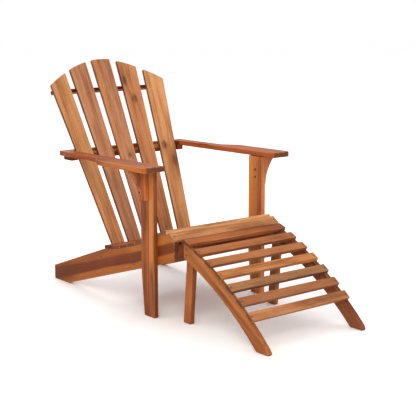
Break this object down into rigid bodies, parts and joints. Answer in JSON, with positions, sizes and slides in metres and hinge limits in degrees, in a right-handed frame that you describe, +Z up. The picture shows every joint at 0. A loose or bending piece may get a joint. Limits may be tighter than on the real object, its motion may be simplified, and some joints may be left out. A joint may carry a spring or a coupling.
{
  "type": "adirondack chair with footrest",
  "caption": "Slatted wooden garden armchair with a reclined fan-shaped back, dished seat and wide flat arms, with a matching curved slatted footrest at its front.",
  "frame": {"origin": "on the floor, at the middle of the whole object's plan: between the two arms, and halfway between the chair's rear heels and the footrest's toe", "axes": "+Z up, -Y the way the chair faces (the footrest is at -Y), +X to the sitter's left"},
  "size_m": [0.695, 1.325, 0.9072],
  "materials": {
    "back_wood": "oiled hardwood, satin, light orange brown with darker knots",
    "seat_wood": "oiled hardwood, satin, mid orange brown",
    "arm_wood": "oiled hardwood, satin, red brown",
    "frame_wood": "oiled hardwood, satin, mid red brown",
    "footrest_slat_wood": "oiled hardwood, satin, orange brown",
    "footrest_frame_wood": "oiled hardwood, satin, orange brown",
    "steel": "dull galvanised steel"
  },
  "bodies": {
    "chair": {"side_rail_right": "frame_wood", "front_leg_right": "frame_wood", "arm_right": "arm_wood", "arm_bracket_right": "frame_wood", "side_rail_left": "frame_wood", "front_leg_left": "frame_wood", "arm_left": "arm_wood", "arm_bracket_left": "frame_wood", "back_slat_1": "back_wood", "back_slat_2": "back_wood", "back_slat_3": "back_wood", "back_slat_4": "back_wood", "back_slat_5": "back_wood", "upper_back_rail": "frame_wood", "lower_back_rail": "frame_wood", "arm_rail": "frame_wood", "front_apron": "frame_wood", "seat_slat_1": "seat_wood", "seat_slat_2": "seat_wood", "seat_slat_3": "seat_wood", "seat_slat_4": "seat_wood", "seat_slat_5": "seat_wood", "seat_slat_6": "seat_wood", "seat_slat_7": "seat_wood", "seat_slat_8": "seat_wood", "seat_nose_slat": "seat_wood", "leg_screw_right_upper": "steel", "bracket_screw_right_upper": "steel", "leg_screw_right_lower": "steel", "bracket_screw_right_lower": "steel", "lower_rail_bolt_right": "steel", "arm_screw_right": "steel", "leg_screw_left_upper": "steel", "bracket_screw_left_upper": "steel", "leg_screw_left_lower": "steel", "bracket_screw_left_lower": "steel", "lower_rail_bolt_left": "steel", "arm_screw_left": "steel"},
    "footrest": {"footrest_rail_right": "footrest_frame_wood", "footrest_rail_left": "footrest_frame_wood", "footrest_leg_right": "footrest_frame_wood", "footrest_leg_left": "footrest_frame_wood", "footrest_slat_1": "footrest_slat_wood", "footrest_slat_2": "footrest_slat_wood", "footrest_slat_3": "footrest_slat_wood", "footrest_slat_4": "footrest_slat_wood", "footrest_slat_5": "footrest_slat_wood", "footrest_slat_6": "footrest_slat_wood", "footrest_slat_7": "footrest_slat_wood", "footrest_bolt_right_upper": "steel", "footrest_bolt_right_lower": "steel", "footrest_bolt_left_upper": "steel", "footrest_bolt_left_lower": "steel"}
  },
  "joints": [
    {"name": "footrest_slide", "type": "slide", "parent": "chair", "child": "footrest", "axis": [0, -1, 0], "range_m": [0, 0.4]}
  ]
}
